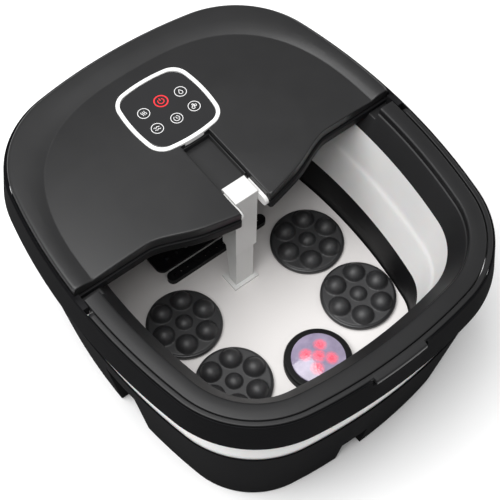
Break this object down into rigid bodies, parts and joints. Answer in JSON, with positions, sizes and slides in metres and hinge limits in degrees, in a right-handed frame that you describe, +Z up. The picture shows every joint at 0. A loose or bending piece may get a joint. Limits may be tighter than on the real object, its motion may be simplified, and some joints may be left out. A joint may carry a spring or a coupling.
{
  "type": "collapsible foot spa basin",
  "caption": "Rounded collapsible foot bath with a splash cover, touch panel, guide column, folding white wall, bail handle, massage discs and a light in the floor.",
  "frame": {"origin": "centre of the plan at the underside of the rubber feet", "axes": "+Z up, front of the basin (handle tab) towards -Y, +X to the right of a user facing the panel"},
  "size_m": [0.38, 0.438, 0.2134],
  "materials": {
    "shell_black": "fine satin texture",
    "satin_black": "smooth satin",
    "inner_black": "smooth",
    "white_trim": "gloss",
    "panel_gloss": "mirror smooth",
    "mark_white": "printed",
    "mark_red": "printed",
    "column_white": "satin",
    "fold_white": "soft satin",
    "floor_light": "smooth",
    "disc_black": "satin",
    "knob_rubber": "satin",
    "steel": "brushed",
    "rubber_black": "matt",
    "motor_case": "matt",
    "board_green": "solder mask",
    "heater_alloy": "cast",
    "lens_clear": "frosted cover",
    "lamp_red": "light source"
  },
  "bodies": {
    "base": {"air_hose": "rubber_black", "air_pump": "motor_case", "base_shell": "shell_black", "bottom_cover": "inner_black", "bottom_screws": "steel", "bubble_bar": "inner_black", "column_post": "column_white", "cord_gland": "rubber_black", "floor_plate": "floor_light", "fold_wall_inner": "fold_white", "fold_wall_outer": "fold_white", "grip_cups": "shell_black", "heater_cover": "inner_black", "heater_plate": "heater_alloy", "inner_tub": "inner_black", "lamps": "lamp_red", "lens": "lens_clear", "light_board": "board_green", "light_plinth": "inner_black", "motor_front_left": "motor_case", "motor_front_right": "motor_case", "motor_rear_left": "motor_case", "motor_rear_right": "motor_case", "power_board": "board_green", "rubber_feet": "rubber_black", "shaft_seals": "rubber_black", "temperature_probe": "steel", "thermal_cutout": "steel", "tub_ledge": "inner_black"},
    "upper": {"rim_skirt": "shell_black", "rim_liner": "satin_black", "rim_screws": "steel", "handle_pins": "steel", "splash_cover": "satin_black", "cover_lip": "satin_black", "cover_screws": "steel", "channel_liner": "inner_black", "panel_bezel": "white_trim", "panel_window": "panel_gloss", "touch_board": "board_green", "panel_tray": "inner_black", "key_rings": "mark_white", "key_symbols": "mark_white", "power_key": "mark_red", "column_sleeve": "column_white", "column_cap": "column_white", "column_yoke": "column_white"},
    "handle": {"handle": "satin_black"},
    "massage_rear_left": {"disc_rear_left": "disc_black", "knobs_rear_left": "knob_rubber", "shaft_rear_left": "steel"},
    "massage_rear_right": {"disc_rear_right": "disc_black", "knobs_rear_right": "knob_rubber", "shaft_rear_right": "steel"},
    "massage_front_left": {"disc_front_left": "disc_black", "knobs_front_left": "knob_rubber", "shaft_front_left": "steel"},
    "massage_front_right": {"disc_front_right": "disc_black", "knobs_front_right": "knob_rubber", "shaft_front_right": "steel"}
  },
  "joints": [
    {"name": "fold", "type": "slide", "parent": "base", "child": "upper", "axis": [0, 0, 1], "range_m": [-0.06, 0], "deforming": ["fold_wall_outer", "fold_wall_inner"]},
    {"name": "handle_hinge", "type": "hinge", "parent": "upper", "child": "handle", "pos_m": [0, -0.02, 0.20175], "axis": [-1, 0, 0], "range_deg": [0, 100]},
    {"name": "spin_rear_left", "type": "hinge", "parent": "base", "child": "massage_rear_left", "pos_m": [-0.079, -0.005, 0.052], "axis": [0, 0, 1], "continuous": true},
    {"name": "spin_rear_right", "type": "hinge", "parent": "base", "child": "massage_rear_right", "pos_m": [0.079, -0.005, 0.052], "axis": [0, 0, 1], "continuous": true},
    {"name": "spin_front_left", "type": "hinge", "parent": "base", "child": "massage_front_left", "pos_m": [-0.079, -0.086, 0.052], "axis": [0, 0, 1], "continuous": true},
    {"name": "spin_front_right", "type": "hinge", "parent": "base", "child": "massage_front_right", "pos_m": [0.079, -0.086, 0.052], "axis": [0, 0, 1], "continuous": true}
  ]
}
